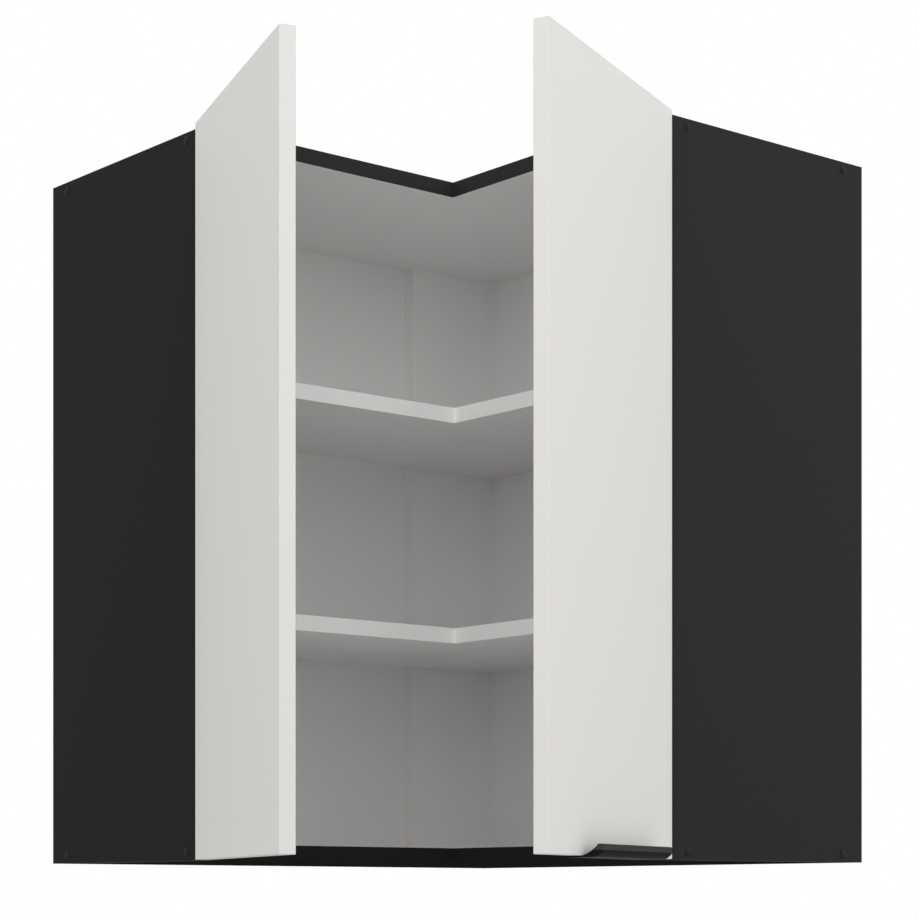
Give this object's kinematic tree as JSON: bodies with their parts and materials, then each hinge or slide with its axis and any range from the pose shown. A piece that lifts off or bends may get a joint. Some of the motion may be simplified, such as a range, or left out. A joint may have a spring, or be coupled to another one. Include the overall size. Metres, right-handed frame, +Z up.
{
  "type": "corner wall cabinet",
  "caption": "L-shaped corner wall cabinet with two hinged doors standing open, L-shaped shelves, concealed hinges, a black edge handle and adjustable wall hooks.",
  "frame": {"origin": "the inside corner of the two walls, at the height of the cabinet's underside", "axes": "+X runs along the right wing, -Y along the left wing, +Z is up; the open front faces between +X and -Y"},
  "size_m": [0.7281, 0.7133, 0.717],
  "materials": {
    "carcass_board": "matt black melamine-faced chipboard, light grey inside",
    "inner_board": "matt light grey melamine-faced chipboard",
    "hardboard": "light grey lacquered hardboard",
    "door_board": "matt pale warm grey laminated board",
    "handle_black": "matt black powder coat on aluminium",
    "cap_plastic": "matt black moulded plastic",
    "dowel_wood": "plain beech",
    "bumper_silicone": "clear silicone",
    "hanger_plastic": "light grey moulded plastic",
    "zinc_steel": "zinc-plated steel",
    "nickel_steel": "nickel-plated steel"
  },
  "bodies": {
    "carcass": {"back_nails": "zinc_steel", "bottom_panel": "carcass_board", "corner_board": "inner_board", "corner_board_screws": "zinc_steel", "end_panel_screws": "zinc_steel", "hanger_adjusters": "zinc_steel", "hanger_screws": "zinc_steel", "hinge_arm_pins": "nickel_steel", "hinge_arm_screws": "zinc_steel", "hinge_plate_screws": "zinc_steel", "left_back_panel": "hardboard", "left_end_panel": "carcass_board", "left_hanger_housing": "hanger_plastic", "left_lower_hinge_arm": "nickel_steel", "left_lower_hinge_plate": "nickel_steel", "left_upper_hinge_arm": "nickel_steel", "left_upper_hinge_plate": "nickel_steel", "lower_shelf": "inner_board", "panel_dowels": "dowel_wood", "right_back_panel": "hardboard", "right_end_panel": "carcass_board", "right_hanger_housing": "hanger_plastic", "right_lower_hinge_arm": "nickel_steel", "right_lower_hinge_plate": "nickel_steel", "right_upper_hinge_arm": "nickel_steel", "right_upper_hinge_plate": "nickel_steel", "screw_caps": "cap_plastic", "shelf_corner_screws": "zinc_steel", "shelf_pins": "nickel_steel", "top_panel": "carcass_board", "upper_shelf": "inner_board"},
    "left_door": {"left_cup_pins": "nickel_steel", "left_cup_screws": "zinc_steel", "left_door_bumpers": "bumper_silicone", "left_door_panel": "door_board", "left_lower_hinge_cup": "nickel_steel", "left_upper_hinge_cup": "nickel_steel"},
    "right_door": {"door_handle": "handle_black", "handle_screws": "zinc_steel", "right_cup_pins": "nickel_steel", "right_cup_screws": "zinc_steel", "right_door_bumpers": "bumper_silicone", "right_door_panel": "door_board", "right_lower_hinge_cup": "nickel_steel", "right_upper_hinge_cup": "nickel_steel"},
    "left_hinge_links": {"left_lower_hinge_link": "nickel_steel", "left_upper_hinge_link": "nickel_steel"},
    "right_hinge_links": {"right_lower_hinge_link": "nickel_steel", "right_upper_hinge_link": "nickel_steel"},
    "left_hook": {"left_hanger_hook": "zinc_steel"},
    "right_hook": {"right_hanger_hook": "zinc_steel"}
  },
  "joints": [
    {"name": "left_door_swing", "type": "hinge", "parent": "carcass", "child": "left_door", "pos_m": [0.291, -0.5976, 0.358], "axis": [0, 0, 1], "range_deg": [-10, 110]},
    {"name": "right_door_swing", "type": "hinge", "parent": "carcass", "child": "right_door", "pos_m": [0.5976, -0.291, 0.358], "axis": [0, 0, 1], "range_deg": [-114, 6]},
    {"name": "left_link_swing", "type": "hinge", "parent": "left_door", "child": "left_hinge_links", "pos_m": [0.31199, -0.60923, 0.358], "axis": [0, 0, 1], "range_deg": [-55, 5]},
    {"name": "right_link_swing", "type": "hinge", "parent": "right_door", "child": "right_hinge_links", "pos_m": [0.61067, -0.31113, 0.358], "axis": [0, 0, 1], "range_deg": [-3, 57]},
    {"name": "left_hook_height", "type": "slide", "parent": "carcass", "child": "left_hook", "axis": [0, 0, 1], "range_m": [-0.005, 0.005]},
    {"name": "right_hook_height", "type": "slide", "parent": "carcass", "child": "right_hook", "axis": [0, 0, 1], "range_m": [-0.005, 0.005]}
  ],
  "couplings": [
    {"joint": "left_link_swing", "follows": "left_door_swing", "ratio": -0.5},
    {"joint": "right_link_swing", "follows": "right_door_swing", "ratio": -0.5}
  ]
}
